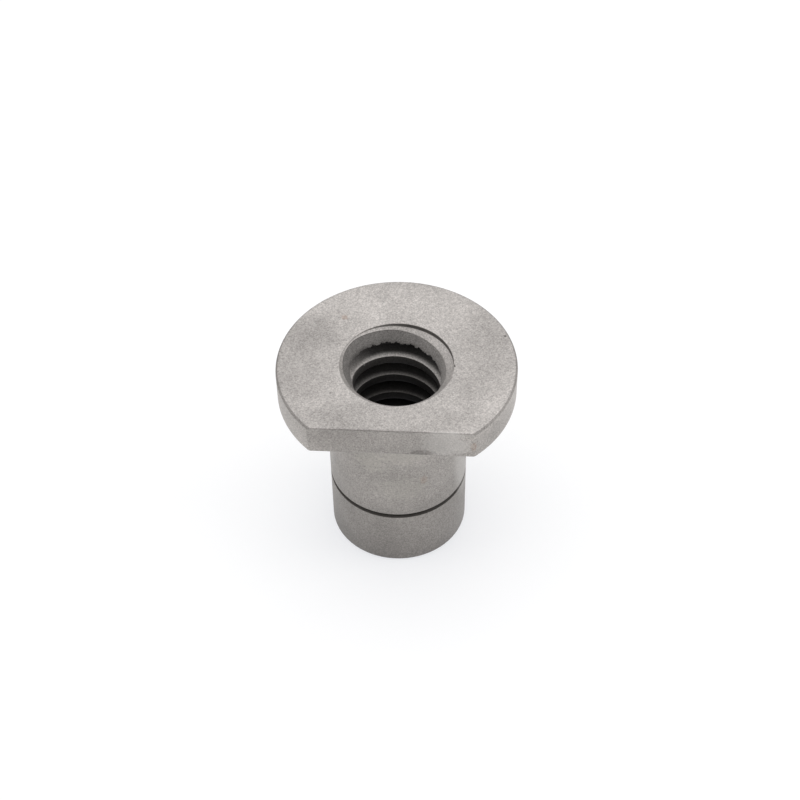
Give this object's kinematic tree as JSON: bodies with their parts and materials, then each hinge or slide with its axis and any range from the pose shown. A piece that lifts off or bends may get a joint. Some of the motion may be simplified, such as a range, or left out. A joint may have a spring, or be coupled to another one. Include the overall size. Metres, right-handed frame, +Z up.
{
  "type": "lifting nut",
  "caption": "Lifting nut with a flat-sided round flange, a plain turned body with a ring groove, and a coarse trapezoidal thread right through.",
  "frame": {"origin": "on the thread axis, at the bottom face of the small end", "axes": "+Z up along the thread axis, from the small end to the flange; the flat of the flange faces -Y"},
  "size_m": [0.062, 0.054, 0.0583],
  "materials": {
    "steel": "matt machined steel, lightly blasted, with a thin dull oxide"
  },
  "bodies": {
    "root": {"lifting_nut": "steel"}
  },
  "joints": []
}
